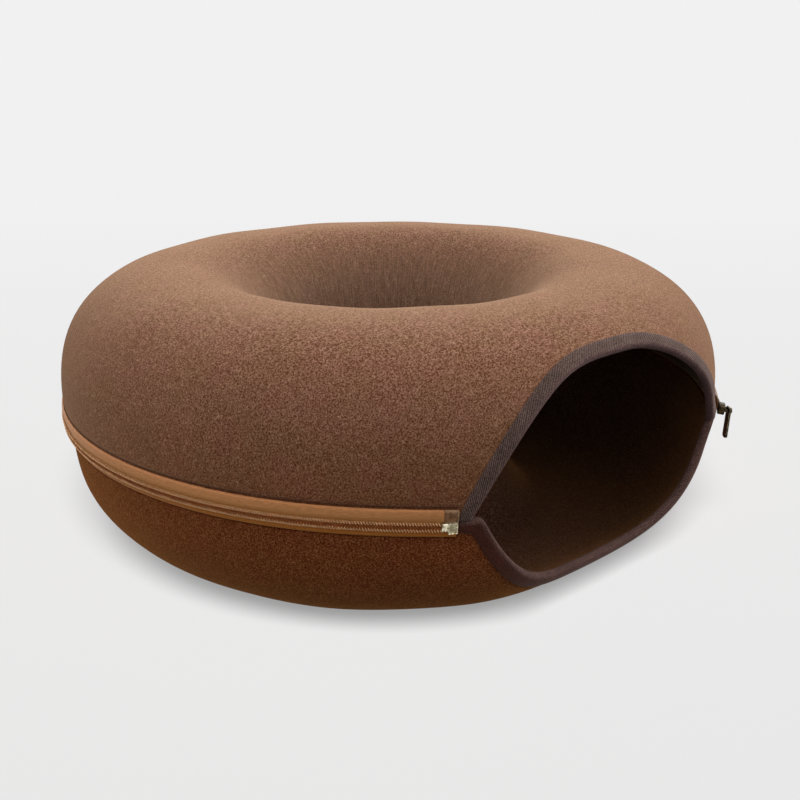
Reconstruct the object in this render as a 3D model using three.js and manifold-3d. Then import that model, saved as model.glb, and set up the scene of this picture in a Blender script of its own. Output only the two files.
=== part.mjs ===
// A donut-shaped felt tunnel bed for a cat: two moulded felt half rings, sewn together round the hole
// and zipped together round the widest line, with a bound entrance cut through both halves.
// Millimetres, +Z up, entrance towards -Y, origin on the floor under the middle of the whole bed.
import * as THREE from 'three'
import { mergeVertices } from 'three/addons/utils/BufferGeometryUtils.js'
import Module from 'manifold-3d'

// Moulded ring. Radii are taken from the ring's own axis, and powers are those of superellipses.
const RIM_RADIUS = 250
const HEIGHT = 197
const HOLE_RADIUS = 85
const CROWN_RADIUS = 157.5
const SHOULDER_HEIGHT = 113
const BOWL_RADIUS = 245.4
const BOWL_HEIGHT = 93
const SEAM_HEIGHT = 100
const FOOT_OUTER = 150
const FOOT_INNER = 130
const SHOULDER_POWER = 2.43
const BOWL_POWER = 2.45
const HOLE_POWER = 2.15
const FELT = 4
const SEAM_GAP = 0.5
// The cut-away front reaches less far than the back, so the ring's axis is this far before the origin.
const RING_FORWARD = 8.7

// Entrance. Angles are degrees round the ring from the entrance's middle, positive towards +X.
const ARCH_TOP = 177.3
const ARCH_MIDDLE = -0.3
const ARCH_LEFT = -30.2
const ARCH_RIGHT = 28.5
const ARCH_LEFT_POWER = 3.3
const ARCH_RIGHT_POWER = 2.2
const LIP_HEIGHT = 28.5
const LIP_MIDDLE = -7
const LIP_CORNER = 28.5
const LIP_LEFT_POWER = 2.85
const LIP_RIGHT_POWER = 4.4
const LIP_DRAWN_IN = 12
const LIP_SPREAD = 29
const FLARE = 3.5
const FLARE_ANGLE = 34
const FLARE_SPREAD = 7
const FLARE_ABOVE = 9
const FLARE_BELOW = 60

// Binding tape, folded over the cut edges of the entrance and pinched in where the halves meet
const BINDING = 1
const BINDING_GAP = 0.7
const BINDING_WIDTH = 10
const BINDING_PINCH = 4
const PINCH_REACH = 7
const BINDING_END = 31.8

// Zip. Its line rises from left to right and dips at its left end, where the felt parts a little off it.
// Its strips end at angles, with the coils meshed from the pin to the slider.
const ZIP_END = 32.2
const ZIP_LEFT_HEIGHT = 94
const ZIP_RIGHT_HEIGHT = 99.5
const ZIP_DIP = 3.7
const ZIP_DIP_REACH = 11.5
const PARTING_LEFT = 3.2
const PARTING_RIGHT = -2.8
const PARTING_REACH = 6
const TAPE = 1
const TAPE_GAP = 0.5
const TAPE_UPPER_WIDTH = 11.75
const TAPE_LOWER_WIDTH = 7.25
const COIL_WIDTH = 2.7
const COIL = 1.6
const FILM_END = 34
const PIN_END = 34.5
const BOX = 3.4
const BOX_LENGTH = 5.7
const BOX_WIDTH = 7.4
const PIN_WIDTH = 5.5
const SLIDER = 4.8
const SLIDER_LENGTH = 10.5
const SLIDER_WIDTH = 8.4
const SLIDER_NOSE = 5.9
const SLIDER_TAIL = 6.7
const NOSE_LENGTH = 3.7
const BAIL = 1
const BAIL_WIDTH = 2.4
const POST = 1.4
const POST_PLACE = 2.6
const PULL = 1.8
const PULL_LENGTH = 24
const PULL_WIDTH = 6.4
const PULL_WAIST = 5.2
const PULL_CORNER = 2
const PULL_RIM = 1.5
const PULL_OFF = 2.9
const PULL_PLAY = 0.5
const PULL_LEAN = 2.5
const PULL_TURN = 18
const EYE_WIDTH = 3
const EYE_HEIGHT = 4

// Clearance between neighbours, the width of the meshes' first row, the columns round the entrance
// and behind it, and how far a section is looked at round a point to find its slope
const GAP = 0.3
const EDGE_ROW = 11.5
const ENTRANCE_COLUMNS = [0, 3, 6, 9, 12, 15, 18, 20.5, 22.5, 24.5, 26.5, LIP_CORNER, 30, BINDING_END,
  34, 36, 39]
const COLUMN_STEP = 6
const FIRST_STEP = 42
const CURVE_STEPS = 20
const SLOPE_REACH = 1.5

// Worked out from the sizes above
const FOLD = BINDING_GAP + BINDING
const ON_TAPE = TAPE_GAP + TAPE + GAP
const DEGREES_PER_MM = 180 / Math.PI / RIM_RADIUS
const SLIDER_ANGLE = ZIP_END + (SLIDER_LENGTH / 2) * DEGREES_PER_MM
const SLIDER_START = ZIP_END + (SLIDER_LENGTH + GAP) * DEGREES_PER_MM
const ZIP_SPAN = 360 - 2 * ZIP_END

// Colours and surface of the cloth and the metal
const UPPER_FELT = '#7a5138'
const LOWER_FELT = '#6b4128'
const BINDING_COLOUR = '#3a2a29'
const TAPE_COLOUR = '#9a6a3c'
const COIL_COLOUR = '#7d4a26'
const FILM_COLOUR = '#8a7358'
const STEEL = '#c9c2b4'
const BRONZE = '#5c5038'
const FELT_ROUGHNESS = 0.95
const CLOTH_ROUGHNESS = 0.75
const COIL_ROUGHNESS = 0.5
const FILM_ROUGHNESS = 0.25
const METAL_ROUGHNESS = 0.35

const rad = THREE.MathUtils.degToRad

// Section of the ring

// A quarter of a superellipse, from its upright end to its level end
function quarter([upR, upZ], [levelR, levelZ], power) {
  const points = []
  for (let i = 0; i <= CURVE_STEPS; i++) {
    const turn = (i / CURVE_STEPS) * Math.PI / 2
    const out = Math.cos(turn) ** (2 / power)
    const up = Math.sin(turn) ** (2 / power)
    points.push(new THREE.Vector2(levelR + (upR - levelR) * out, upZ + (levelZ - upZ) * up))
  }
  return points
}

// How far the felt below the entrance is drawn in towards the ring's axis
function drawnIn(angle) {
  const share = Math.min(Math.abs(angle) / LIP_SPREAD, 1)
  return LIP_DRAWN_IN * Math.cos(share * Math.PI / 2) ** 2
}

// How far the slider's weight draws the wall out, near the zip's right end and its line
function flare(angle, height) {
  const around = (angle - FLARE_ANGLE) / FLARE_SPREAD
  const rise = height - ZIP_RIGHT_HEIGHT
  const upward = rise / (rise > 0 ? FLARE_ABOVE : FLARE_BELOW)
  return FLARE * Math.exp(-(around ** 2) - upward ** 2)
}

// The outside of the tube at an angle, from the seam in the hole over the crown, down the outer
// wall, across the foot and back up to the seam, with the length reached at each point
function makeSection(angle) {
  const bowlRadius = BOWL_RADIUS - drawnIn(angle)
  const inner = quarter([HOLE_RADIUS, SEAM_HEIGHT], [CROWN_RADIUS, HEIGHT], HOLE_POWER)
  const shoulder = quarter([RIM_RADIUS, SHOULDER_HEIGHT], [CROWN_RADIUS, HEIGHT], SHOULDER_POWER)
  const bowl = quarter([bowlRadius, BOWL_HEIGHT], [FOOT_OUTER, 0], BOWL_POWER)
  const under = quarter([HOLE_RADIUS, SEAM_HEIGHT], [FOOT_INNER, 0], HOLE_POWER)
  const waist = []
  for (let i = 1; i < CURVE_STEPS; i++) {
    const z = THREE.MathUtils.lerp(SHOULDER_HEIGHT, BOWL_HEIGHT, i / CURVE_STEPS)
    waist.push(new THREE.Vector2(bowlRadius, z))
  }
  for (const p of [...waist, ...bowl]) {
    const bulge = THREE.MathUtils.smoothstep(p.y, 2 * BOWL_HEIGHT - SHOULDER_HEIGHT, SHOULDER_HEIGHT)
    p.x += (RIM_RADIUS - bowlRadius) * bulge
  }
  for (const p of [...shoulder, ...waist, ...bowl]) p.x += flare(angle, p.y)
  const points = [...inner, ...shoulder.reverse().slice(1), ...waist, ...bowl, ...under.reverse()]
  const lengths = [0]
  for (let i = 1; i < points.length; i++) {
    lengths.push(lengths[i - 1] + points[i].distanceTo(points[i - 1]))
  }
  return { points, lengths, crown: inner.length, total: lengths.at(-1) }
}

const sections = new Map()
function section(angle) {
  if (!sections.has(angle)) sections.set(angle, makeSection(angle))
  return sections.get(angle)
}

// The point of a section at a length along it
function walk({ points, lengths, total }, length) {
  const at = THREE.MathUtils.clamp(length, 0, total)
  const next = Math.max(lengths.findIndex((reached) => reached >= at), 1)
  const share = (at - lengths[next - 1]) / (lengths[next] - lengths[next - 1])
  return points[next - 1].clone().lerp(points[next], share)
}

// The length at which the outer wall passes a height on its way down
function lengthAtHeight({ points, lengths, crown }, height) {
  const next = points.findIndex((p, i) => i > crown && p.y <= height)
  const share = (points[next - 1].y - height) / (points[next - 1].y - points[next].y)
  return THREE.MathUtils.lerp(lengths[next - 1], lengths[next], share)
}

// A point of the ring: an angle round it, a length along the section and a height off the felt
function onRing(angle, length, off = 0) {
  const around = section(angle)
  const p = walk(around, length)
  const slope = walk(around, length + SLOPE_REACH).sub(walk(around, length - SLOPE_REACH)).normalize()
  const r = p.x - slope.y * off
  const z = p.y + slope.x * off
  return new THREE.Vector3(r * Math.sin(rad(angle)), -r * Math.cos(rad(angle)), z)
}

// Lines on the outer wall, as heights

// Degrees round the back from the left end of the zip
function alongZip(angle) {
  const fromLeft = angle < 0 ? -ZIP_END - angle : 360 - ZIP_END - angle
  return THREE.MathUtils.clamp(fromLeft, 0, ZIP_SPAN)
}

function zipHeight(angle) {
  const fromLeft = alongZip(angle)
  const rising = THREE.MathUtils.lerp(ZIP_LEFT_HEIGHT, ZIP_RIGHT_HEIGHT, fromLeft / ZIP_SPAN)
  return rising - ZIP_DIP * Math.exp(-fromLeft / ZIP_DIP_REACH)
}

function partingHeight(angle) {
  const fromLeft = alongZip(angle)
  return zipHeight(angle)
    + PARTING_LEFT * Math.exp(-fromLeft / PARTING_REACH)
    + PARTING_RIGHT * Math.exp((fromLeft - ZIP_SPAN) / PARTING_REACH)
}

// The upper cut edge: the parting line, and the arch where that is higher
function archHeight(angle) {
  const isLeft = angle < ARCH_MIDDLE
  const side = isLeft ? ARCH_LEFT : ARCH_RIGHT
  const corner = partingHeight(side) + GAP / 2
  const share = Math.min((angle - ARCH_MIDDLE) / (side - ARCH_MIDDLE), 1)
  return corner + (ARCH_TOP - corner) * (1 - share ** (isLeft ? ARCH_LEFT_POWER : ARCH_RIGHT_POWER))
}

function upperCut(angle) {
  const inside = angle > ARCH_LEFT && angle < ARCH_RIGHT
  return inside ? archHeight(angle) : partingHeight(angle) + GAP / 2
}

// The lower cut edge: the parting line, and the lip that drops from it in the entrance
function lowerCut(angle) {
  const parting = partingHeight(angle) - GAP / 2 - FOLD
  if (Math.abs(angle) > LIP_CORNER) return parting
  const isLeft = angle < LIP_MIDDLE
  const share = (angle - LIP_MIDDLE) / ((isLeft ? -LIP_CORNER : LIP_CORNER) - LIP_MIDDLE)
  return LIP_HEIGHT + (parting - LIP_HEIGHT) * share ** (isLeft ? LIP_LEFT_POWER : LIP_RIGHT_POWER)
}

// Meshes

function makeMesh(name, geometry, colour, roughness, metalness = 0) {
  const material = new THREE.MeshStandardMaterial({ color: colour, roughness, metalness })
  const mesh = new THREE.Mesh(geometry, material)
  mesh.name = name
  return mesh
}

// Triangles that fill a loop, worked out in the plane that it fills most of
function capTriangles(loop) {
  const normal = new THREE.Vector3()
  loop.forEach((p, i) => normal.add(p.clone().cross(loop[(i + 1) % loop.length])))
  const across = new THREE.Vector3(0, 0, 1).cross(normal).normalize()
  const up = normal.clone().cross(across).normalize()
  const flat = loop.map((p) => new THREE.Vector2(p.dot(across), p.dot(up)))
  return THREE.ShapeUtils.triangulateShape(flat, [])
}

// Six times the volume inside the triangles, negative where they face inwards
function sixVolumes(points, triangles) {
  let sum = 0
  for (let i = 0; i < triangles.length; i += 3) {
    const [a, b, c] = [0, 1, 2].map((k) => points[triangles[i + k]])
    sum += a.dot(b.clone().cross(c))
  }
  return sum
}

// Joins loops of points, one after another, into a tube that closes on itself or has flat ends.
// Each four-sided face is split along its shorter diagonal, so that it lies close to a curved wall.
function loft(loops, closed) {
  const count = loops[0].length
  const points = loops.flat()
  const triangles = []
  for (let i = 0; i < loops.length - (closed ? 0 : 1); i++) {
    const here = i * count
    const there = ((i + 1) % loops.length) * count
    for (let j = 0; j < count; j++) {
      const next = (j + 1) % count
      const [a, b, c, d] = [here + j, here + next, there + next, there + j]
      const splitsAtA = points[a].distanceTo(points[c]) <= points[b].distanceTo(points[d])
      triangles.push(...(splitsAtA ? [a, b, c, a, c, d] : [b, c, d, b, d, a]))
    }
  }
  if (!closed) {
    const last = points.length - count
    for (const [a, b, c] of capTriangles(loops[0])) {
      triangles.push(a, c, b, last + a, last + b, last + c)
    }
  }
  if (sixVolumes(points, triangles) < 0) triangles.reverse()
  const geometry = new THREE.BufferGeometry().setFromPoints(points)
  geometry.setIndex(triangles)
  geometry.computeVertexNormals()
  return geometry
}

function columnAngles() {
  const right = [...ENTRANCE_COLUMNS]
  for (let angle = FIRST_STEP; angle < 180; angle += COLUMN_STEP) right.push(angle)
  const left = right.slice(1).reverse().map((angle) => -angle)
  return [...left, ...right, 180]
}
const COLUMNS = columnAngles()

// The columns from one angle round the back to another, with both ends
function columnsBehind(left, right) {
  const leftOnes = COLUMNS.filter((angle) => angle < left).reverse()
  const rightOnes = COLUMNS.filter((angle) => angle > right).reverse()
  return [left, ...leftOnes, ...rightOnes, right]
}

// Felt halves

// Lengths along a section from a start through each stop, with evenly spaced rows between them
function rowLengths(start, stops) {
  const lengths = [start]
  for (const { to, rows } of stops) {
    const from = lengths.at(-1)
    for (let i = 1; i <= rows; i++) lengths.push(THREE.MathUtils.lerp(from, to, i / rows))
  }
  return lengths
}

function upperRows(angle) {
  const around = section(angle)
  const cut = lengthAtHeight(around, upperCut(angle))
  return rowLengths(SEAM_GAP / 2, [
    { to: around.lengths[CURVE_STEPS], rows: 6 },
    { to: cut - EDGE_ROW, rows: 8 },
    { to: cut, rows: 1 },
  ])
}

function lowerRows(angle) {
  const around = section(angle)
  const cut = lengthAtHeight(around, lowerCut(angle))
  return rowLengths(cut, [
    { to: cut + EDGE_ROW, rows: 1 },
    { to: around.lengths.at(-2 - CURVE_STEPS), rows: 7 },
    { to: around.lengths.at(-1 - CURVE_STEPS), rows: 1 },
    { to: around.total - SEAM_GAP / 2, rows: 5 },
  ])
}

function feltHalf(name, rowsAt, colour) {
  const loops = COLUMNS.map((angle) => {
    const lengths = rowsAt(angle)
    const outside = lengths.map((length) => onRing(angle, length))
    const inside = lengths.map((length) => onRing(angle, length, -FELT))
    return [...outside, ...inside.reverse()]
  })
  return makeMesh(name, loft(loops, true), colour, FELT_ROUGHNESS)
}

// Binding

// A place on a cut edge, and the step from there to another one, on the felt laid flat
function station(angle, cut) {
  const around = section(angle)
  const length = lengthAtHeight(around, cut(angle))
  return { angle, length, r: walk(around, length).x }
}

function flatStep(from, to) {
  const around = rad(to.angle - from.angle) * (from.r + to.r) / 2
  return new THREE.Vector2(around, to.length - from.length)
}

// The way from an edge into the felt, for a mitre between the steps before and after a place
function mitre(before, after, turn) {
  const [one, other] = [before, after].map((step) => step.clone().normalize())
  const sideways = new THREE.Vector2(-one.y, one.x).multiplyScalar(turn)
  const middle = new THREE.Vector2(-one.y - other.y, one.x + other.x).multiplyScalar(turn).normalize()
  return middle.divideScalar(middle.dot(sideways))
}

// One section of the folded tape, set on an edge: its outer leg, its fold and its inner leg
function foldedTape({ angle, length, r }, into, width) {
  const corners = [
    [width, BINDING_GAP], [width, FOLD], [0, FOLD], [-FOLD, 0],
    [-FOLD, -FELT], [0, -FELT - FOLD], [width, -FELT - FOLD], [width, -FELT - BINDING_GAP],
    [-BINDING_GAP, -FELT - BINDING_GAP], [-BINDING_GAP, BINDING_GAP],
  ]
  return corners.map(([inward, off]) => {
    const turned = angle + THREE.MathUtils.radToDeg((into.x * inward) / r)
    return onRing(turned, length + into.y * inward, off)
  })
}

// Tape folded over a cut edge. turn is 1 where the felt lies below the edge and -1 where above it.
function binding(name, angles, cut, turn, levelEnds) {
  const stations = angles.map((angle) => station(angle, cut))
  const steps = stations.slice(1).map((to, i) => flatStep(stations[i], to))
  const reached = [0]
  steps.forEach((step, i) => reached.push(reached[i] + step.length()))
  const loops = stations.map((place, i) => {
    const before = steps[Math.max(i - 1, 0)]
    const after = steps[Math.min(i, steps.length - 1)]
    const into = mitre(before, after, turn)
    const isEnd = i === 0 || i === steps.length
    if (isEnd && levelEnds) into.set(into.lengthSq() / into.x, 0)
    const fromEnd = Math.min(reached[i], reached.at(-1) - reached[i])
    const width = BINDING_WIDTH - BINDING_PINCH * Math.exp(-fromEnd / PINCH_REACH)
    return foldedTape(place, into, width)
  })
  return makeMesh(name, loft(loops, false), BINDING_COLOUR, CLOTH_ROUGHNESS)
}

function bindings() {
  const arch = COLUMNS.filter((angle) => angle > ARCH_LEFT && angle < ARCH_RIGHT)
  const lip = COLUMNS.filter((angle) => Math.abs(angle) <= LIP_CORNER)
  return [
    binding('binding_upper', [ARCH_LEFT, ...arch, ARCH_RIGHT], archHeight, -1, true),
    binding('binding_lower', [-BINDING_END, ...lip, BINDING_END], lowerCut, 1, false),
  ]
}

// Zip

// A flat strip along the zip, between two distances above its line and two heights off the felt
function stripOnZip(name, angles, [below, above], [low, high], colour, roughness) {
  const loops = angles.map((angle) => {
    const line = lengthAtHeight(section(angle), zipHeight(angle))
    const corners = [[below, low], [above, low], [above, high], [below, high]]
    return corners.map(([up, off]) => onRing(angle, line - up, off))
  })
  return makeMesh(name, loft(loops, false), colour, roughness)
}

function zipStrips() {
  const tapeLevels = [TAPE_GAP, TAPE_GAP + TAPE]
  const coilLevels = [ON_TAPE, ON_TAPE + COIL]
  const whole = columnsBehind(-ZIP_END, ZIP_END)
  const pastFilm = columnsBehind(-FILM_END, ZIP_END)
  const film = [GAP * DEGREES_PER_MM - FILM_END, -ZIP_END]
  const meshed = columnsBehind(-PIN_END, SLIDER_START)
  const upperTape = [GAP / 2, TAPE_UPPER_WIDTH]
  const lowerTape = [-TAPE_LOWER_WIDTH, -GAP / 2]
  const upperCoil = [GAP / 2, COIL_WIDTH]
  const lowerCoil = [-COIL_WIDTH, -GAP / 2]
  return [
    stripOnZip('zip_tape_upper', pastFilm, upperTape, tapeLevels, TAPE_COLOUR, CLOTH_ROUGHNESS),
    stripOnZip('zip_tape_lower', whole, lowerTape, tapeLevels, TAPE_COLOUR, CLOTH_ROUGHNESS),
    stripOnZip('zip_film', film, upperTape, tapeLevels, FILM_COLOUR, FILM_ROUGHNESS),
    stripOnZip('zip_coil_upper', meshed, upperCoil, coilLevels, COIL_COLOUR, COIL_ROUGHNESS),
    stripOnZip('zip_coil_lower', meshed, lowerCoil, coilLevels, COIL_COLOUR, COIL_ROUGHNESS),
  ]
}

// How far the wall leans out at the zip line, and a group that stands on that line there, x along
// the zip, -y off the felt and z up the wall
function wallLean(angle) {
  const line = lengthAtHeight(section(angle), zipHeight(angle))
  const up = onRing(angle, line - SLOPE_REACH).sub(onRing(angle, line + SLOPE_REACH))
  return Math.atan2(up.x * Math.sin(rad(angle)) - up.y * Math.cos(rad(angle)), up.z)
}

function hardwareAt(angle, ...meshes) {
  const group = new THREE.Group()
  group.position.copy(onRing(angle, lengthAtHeight(section(angle), zipHeight(angle))))
  group.rotation.set(wallLean(angle), 0, rad(angle), 'ZXY')
  group.add(...meshes)
  return group
}

// Extrudes an outline drawn on the felt, between two heights off it
function plate(outline, [low, high], hole) {
  const shape = new THREE.Shape(outline.map(([x, z]) => new THREE.Vector2(x, z)))
  if (hole) shape.holes.push(new THREE.Path(hole.map(([x, z]) => new THREE.Vector2(x, z))))
  const geometry = new THREE.ExtrudeGeometry(shape, { depth: high - low, bevelEnabled: false })
  return geometry.rotateX(Math.PI / 2).translate(0, -low, 0)
}

function rectangle(left, right, bottom, top) {
  return [[left, bottom], [right, bottom], [right, top], [left, top]]
}

// The retaining box at the left end, with the pin that stands in it
function zipBox() {
  const pinLength = rad(PIN_END - ZIP_END) * RIM_RADIUS - BOX_LENGTH - 2 * GAP
  const half = [[0, BOX_WIDTH], [-BOX_LENGTH, BOX_WIDTH], [-BOX_LENGTH, PIN_WIDTH],
    [-BOX_LENGTH - pinLength, PIN_WIDTH]].map(([x, width]) => [x, width / 2])
  const outline = [...half, ...half.map(([x, z]) => [x, -z]).reverse()]
  const mesh = makeMesh('zip_box', plate(outline, [ON_TAPE, ON_TAPE + BOX]), STEEL, METAL_ROUGHNESS, 1)
  return hardwareAt(-ZIP_END, mesh)
}

const manifold = await Module()
manifold.setup()

function toSolid(geometry) {
  const bare = geometry.clone()
  bare.deleteAttribute('normal')
  bare.deleteAttribute('uv')
  const merged = mergeVertices(bare)
  return new manifold.Manifold(new manifold.Mesh({
    numProp: 3,
    vertProperties: new Float32Array(merged.attributes.position.array),
    triVerts: new Uint32Array(merged.index.array),
  }))
}

function joined(geometries) {
  const solid = geometries.map(toSolid).reduce((a, b) => a.add(b))
  const { numProp, vertProperties, triVerts } = solid.getMesh()
  const geometry = new THREE.BufferGeometry()
  geometry.setAttribute('position', new THREE.BufferAttribute(vertProperties, numProp))
  geometry.setIndex(new THREE.BufferAttribute(triVerts, 1))
  geometry.computeVertexNormals()
  return geometry
}

// An outline with a right half that is given from the top down, mirrored to the left
function mirrored(half) {
  return [...half, ...half.map(([x, z]) => [-x, z]).reverse()]
}

// The slider, with a bail of two posts and a bar
function sliderShape(bar) {
  const end = SLIDER_LENGTH / 2
  const top = ON_TAPE + SLIDER
  const half = [[-end, SLIDER_NOSE], [NOSE_LENGTH - end, SLIDER_WIDTH], [end, SLIDER_TAIL]]
  const above = half.map(([x, width]) => [x, width / 2])
  const body = [...above, ...above.map(([x, z]) => [x, -z]).reverse()]
  const [inner, outer] = [POST_PLACE - POST / 2, POST_PLACE + POST / 2]
  const wide = BAIL_WIDTH / 2
  const post = [top - GAP, bar + GAP]
  return joined([
    plate(body, [ON_TAPE, top]),
    plate(rectangle(-outer, -inner, -wide, wide), post),
    plate(rectangle(inner, outer, -wide, wide), post),
    plate(rectangle(-outer, outer, -wide, wide), [bar, bar + BAIL]),
  ])
}

// The pull, hung by its eye from the bail's post nearer the entrance, and turned a little on it
function zipPull(off, turn) {
  const high = BAIL_WIDTH / 2 + PULL_PLAY
  const [crown, tip] = [high + PULL_RIM, high + PULL_RIM - PULL_LENGTH]
  const [tab, waist] = [PULL_WIDTH / 2, PULL_WAIST / 2]
  const outline = mirrored([[waist, crown], [tab, crown - PULL_CORNER], [waist, (crown + tip) / 2],
    [tab, tip + PULL_CORNER], [waist, tip]])
  const eye = rectangle(-EYE_WIDTH / 2, EYE_WIDTH / 2, high - EYE_HEIGHT, high)
  const shape = plate(outline, [-PULL / 2, PULL / 2], eye)
  const pull = makeMesh('zip_pull', shape, BRONZE, METAL_ROUGHNESS, 1)
  pull.position.set(-POST_PLACE, -off, 0)
  pull.rotation.set(turn, 0, rad(PULL_TURN), 'XZY')
  return pull
}

function zipSlider() {
  const off = ON_TAPE + SLIDER + PULL_OFF
  const turn = rad(PULL_LEAN) - wallLean(SLIDER_ANGLE)
  const shape = sliderShape(off + PULL / 2 + 2 * GAP)
  const slider = makeMesh('zip_slider', shape, BRONZE, METAL_ROUGHNESS, 1)
  return hardwareAt(SLIDER_ANGLE, slider, zipPull(off, turn))
}

const bed = new THREE.Group()
bed.position.y = -RING_FORWARD
bed.add(feltHalf('shell_upper', upperRows, UPPER_FELT), feltHalf('shell_lower', lowerRows, LOWER_FELT))
bed.add(...bindings(), ...zipStrips(), zipBox(), zipSlider())

const object = new THREE.Group()
object.add(bed)
export default object
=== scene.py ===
"""A donut-shaped felt tunnel bed for a cat, with a bound entrance and a zip round its widest line.

Sizes are in millimetres and angles in degrees round the ring from the entrance's middle, positive
towards +X. A length runs along the ring's section from the seam in the hole, over the crown, down the
outer wall and across the foot, back to that seam.
"""
import functools
import math

import bmesh
import bpy
import numpy as np
from mathutils import Matrix, Vector


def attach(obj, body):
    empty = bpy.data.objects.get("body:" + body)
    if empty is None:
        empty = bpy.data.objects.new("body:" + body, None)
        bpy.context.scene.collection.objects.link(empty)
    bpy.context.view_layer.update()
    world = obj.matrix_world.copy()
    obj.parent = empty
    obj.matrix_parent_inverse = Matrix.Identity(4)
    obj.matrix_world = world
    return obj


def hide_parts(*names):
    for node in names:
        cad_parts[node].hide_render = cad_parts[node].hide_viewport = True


MM = 0.001

# The moulded ring, the same as in the frame
RIM_RADIUS = 250
HEIGHT = 197
HOLE_RADIUS = 85
CROWN_RADIUS = 157.5
SHOULDER_HEIGHT = 113
BOWL_RADIUS = 245.4
BOWL_HEIGHT = 93
SEAM_HEIGHT = 100
FOOT_OUTER = 150
FOOT_INNER = 130
SHOULDER_POWER = 2.43
BOWL_POWER = 2.45
HOLE_POWER = 2.15
FELT = 4
SEAM_GAP = 0.5
RING_FORWARD = 8.7

# The entrance
ARCH_TOP = 177.3
ARCH_MIDDLE = -0.3
ARCH_LEFT = -30.2
ARCH_RIGHT = 28.5
ARCH_LEFT_POWER = 3.3
ARCH_RIGHT_POWER = 2.2
LIP_HEIGHT = 28.5
LIP_MIDDLE = -7
LIP_CORNER = 28.5
LIP_LEFT_POWER = 2.85
LIP_RIGHT_POWER = 4.4
LIP_DRAWN_IN = 12
LIP_SPREAD = 29
LIP_ROUND = 0.6
FLARE = 3.5
FLARE_ANGLE = 34
FLARE_SPREAD = 7
FLARE_ABOVE = 9
FLARE_BELOW = 60

# The binding tape
BINDING = 1
BINDING_GAP = 0.7
PINCH_REACH = 7
BINDING_END = 31.8
HALF_STATIONS = [3, 6, 9, 12, 15, 18, 20.5, 22.5, 24.5, 26.5, LIP_CORNER, BINDING_END]
LIP_STATIONS = [*(-angle for angle in reversed(HALF_STATIONS)), 0, *HALF_STATIONS]
ARCH_STATIONS = [ARCH_LEFT, *(angle for angle in LIP_STATIONS if ARCH_LEFT < angle < ARCH_RIGHT), ARCH_RIGHT]

# The zip
ZIP_END = 32.2
ZIP_LEFT_HEIGHT = 94
ZIP_RIGHT_HEIGHT = 99.5
ZIP_DIP = 3.7
ZIP_DIP_REACH = 11.5
PARTING_LEFT = 3.2
PARTING_RIGHT = -2.8
PARTING_REACH = 6
TAPE = 1
TAPE_GAP = 0.5
TAPE_UPPER_WIDTH = 11.75
TAPE_LOWER_WIDTH = 7.25
COIL_WIDTH = 2.7
COIL = 1.6
FILM_END = 34
PIN_END = 34.5
BOX = 3.4
BOX_LENGTH = 5.7
BOX_WIDTH = 7.4
PIN_WIDTH = 5.5
SLIDER = 4.8
SLIDER_LENGTH = 10.5
SLIDER_WIDTH = 8.4
SLIDER_NOSE = 5.9
SLIDER_TAIL = 6.7
NOSE_LENGTH = 3.7
BAIL = 1
BAIL_WIDTH = 2.4
POST = 1.4
POST_PLACE = 2.6
PULL = 1.8
PULL_LENGTH = 24
PULL_WIDTH = 6.4
PULL_CORNER = 2
PULL_RIM = 1.5
PULL_OFF = 2.9
PULL_PLAY = 0.5
PULL_LEAN = 2.5
PULL_TURN = 18
EYE_WIDTH = 3
EYE_HEIGHT = 4
GAP = 0.3

# How the pieces are dressed
ARCH_PINCHES = (2, -4.5)
LIP_PINCHES = (4, 4)
TWILL = 0.8
TWILL_GAP = 0.2
TWILL_WIDTH = 9.2
FOLD_ROUND = 2.4
LEG_EDGE = 0.75
LEG_SHARES = (0.96, 0.7, 0.45)
EDGE_ROUND = 0.9
EDGE_REACH = 24
CREASE = 1.1
CREASE_WIDTH = 1.2
CREASE_PLACE = 0.6
SEATED = 0.1
UPPER_CROWN = 0.8
LOWER_CROWN = 0.3
CROWN_POWER = 0.8
ZIP_DROP = 0.7
CHAIN_RISE = 0.5
BOX_RISE = 0.6
PIN_RISE = 0.5
PIN_SUNK = 0.8
PIN_LAP = 1
FILM_OVERHANG = 1
COIL_PITCH = 1.6
COIL_POINTS = 10
COIL_WIRE = 0.36
THREAD = 0.3
STITCH_PITCH = 1.75
STITCH_SLANT = 0.5
STITCH_INNER = 1.6
STITCH_OUTER = 2.9
SHARP = 50

# How uneven the felt is, and where that dies out
WIDE_SWELL = 0.45
MIDDLE_SWELL = 0.35
FINE_SWELL = 0.22
WIDE_WAVE = 47
MIDDLE_WAVE = 31
FINE_WAVE = 55
CALM_REACH = 30
CALM_EDGE_REACH = 40
CALM_FOOT_REACH = 60
CALM_ABOVE = 14
CALM_BELOW = 10

# How the metal's edges are rounded, and its panels sunk
FINE_BEVEL = 0.3
BAR_BEVEL = 0.4
PIN_BEVEL = 0.5
SLIDER_BEVEL = 0.7
BOX_RIM = 0.9
TAB_RIM = 1.1
PANEL_RECESS = 0.5
FRAME_LAP = 0.5

# Where looks change along a section or in from an edge, and spans of colour stops
HOLE_NAP_START = 70
HOLE_NAP_END = 125
CROWN_GRAIN_START = 170
CROWN_GRAIN_END = 250
SECTION_SPAN = 600
TWILL_SPAN = 30
# Widths of the painted highlight along the film's end and top edges
FILM_END_HIGHLIGHT = (1.1, 0.5)
FILM_TOP_HIGHLIGHT = (1.3, 0.6)
# Reach of the painted shade round the slider
SLIDER_SHADE_REACH = 28

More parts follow.
